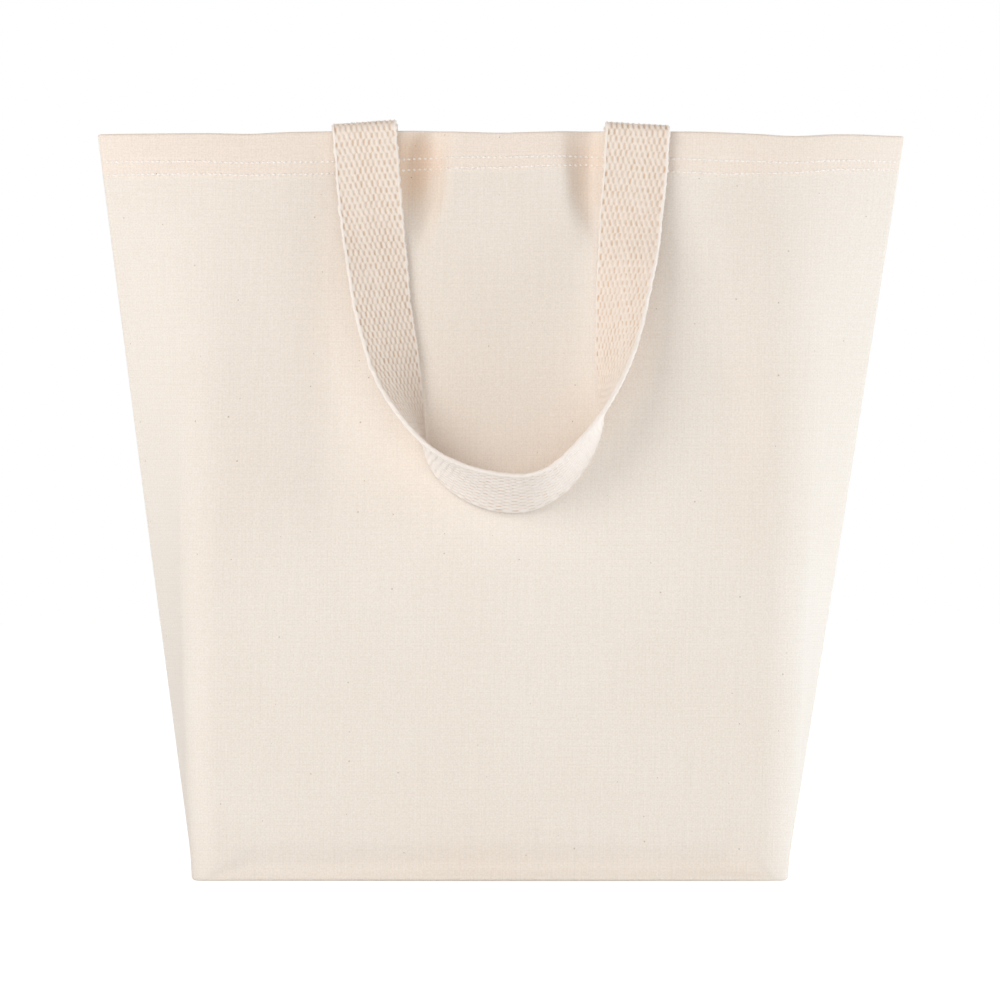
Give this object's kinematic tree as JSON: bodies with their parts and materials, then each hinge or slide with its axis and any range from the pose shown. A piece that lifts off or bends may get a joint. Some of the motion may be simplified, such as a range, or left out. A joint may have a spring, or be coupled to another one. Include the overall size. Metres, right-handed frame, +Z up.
{
  "type": "canvas tote bag",
  "caption": "Open-top canvas tote bag with boxed corners, a hemmed mouth and two webbing carry handles hanging over the rim.",
  "frame": {"origin": "middle of the underside, on the surface the bag stands on", "axes": "+X along the mouth towards the right side seam, +Y from front to back, +Z up; the front faces -Y"},
  "size_m": [0.402, 0.1524, 0.3748],
  "materials": {
    "canvas": "natural cotton canvas, plain weave, washed soft, with dark seed flecks",
    "webbing": "natural cotton webbing, heavy plain weave with bright selvedges",
    "thread": "natural sewing thread"
  },
  "bodies": {
    "root": {"front_base": "canvas", "back_base": "canvas", "left_front_gusset": "canvas", "right_front_gusset": "canvas", "left_back_gusset": "canvas", "right_back_gusset": "canvas", "left_side_seam": "canvas", "right_side_seam": "canvas", "left_side_overlock": "thread", "right_side_overlock": "thread", "bottom_seam": "canvas", "bottom_overlock": "thread", "left_corner_seam": "canvas", "right_corner_seam": "canvas", "left_corner_overlock": "thread", "right_corner_overlock": "thread", "left_hem": "canvas", "right_hem": "canvas", "left_hem_stitch": "thread", "right_hem_stitch": "thread"},
    "front_wall": {"front_panel": "canvas", "front_hem": "canvas", "front_hem_upper_stitch": "thread", "front_hem_lower_stitch": "thread", "front_handle_left_end": "webbing", "front_handle_right_end": "webbing", "front_handle_left_stitch": "thread", "front_handle_right_stitch": "thread"},
    "back_wall": {"back_panel": "canvas", "back_hem": "canvas", "back_hem_upper_stitch": "thread", "back_hem_lower_stitch": "thread", "back_handle_left_end": "webbing", "back_handle_right_end": "webbing", "back_handle_left_stitch": "thread", "back_handle_right_stitch": "thread"},
    "front_handle": {"front_handle": "webbing"},
    "back_handle": {"back_handle": "webbing"}
  },
  "joints": [
    {"name": "front_wall_open", "type": "hinge", "parent": "root", "child": "front_wall", "pos_m": [0, -0.048, 0], "axis": [1, 0, 0], "range_deg": [0, 5], "stiffness_Nm_per_rad": 0.2},
    {"name": "back_wall_open", "type": "hinge", "parent": "root", "child": "back_wall", "pos_m": [0, 0.048, 0], "axis": [-1, 0, 0], "range_deg": [0, 5], "stiffness_Nm_per_rad": 0.2},
    {"name": "front_handle_raise", "type": "hinge", "parent": "front_wall", "child": "front_handle", "pos_m": [0, -0.02735, 0.3732], "axis": [-1, 0, 0], "range_deg": [0, 170]},
    {"name": "back_handle_raise", "type": "hinge", "parent": "back_wall", "child": "back_handle", "pos_m": [0, 0.02735, 0.3732], "axis": [1, 0, 0], "range_deg": [0, 170]}
  ]
}
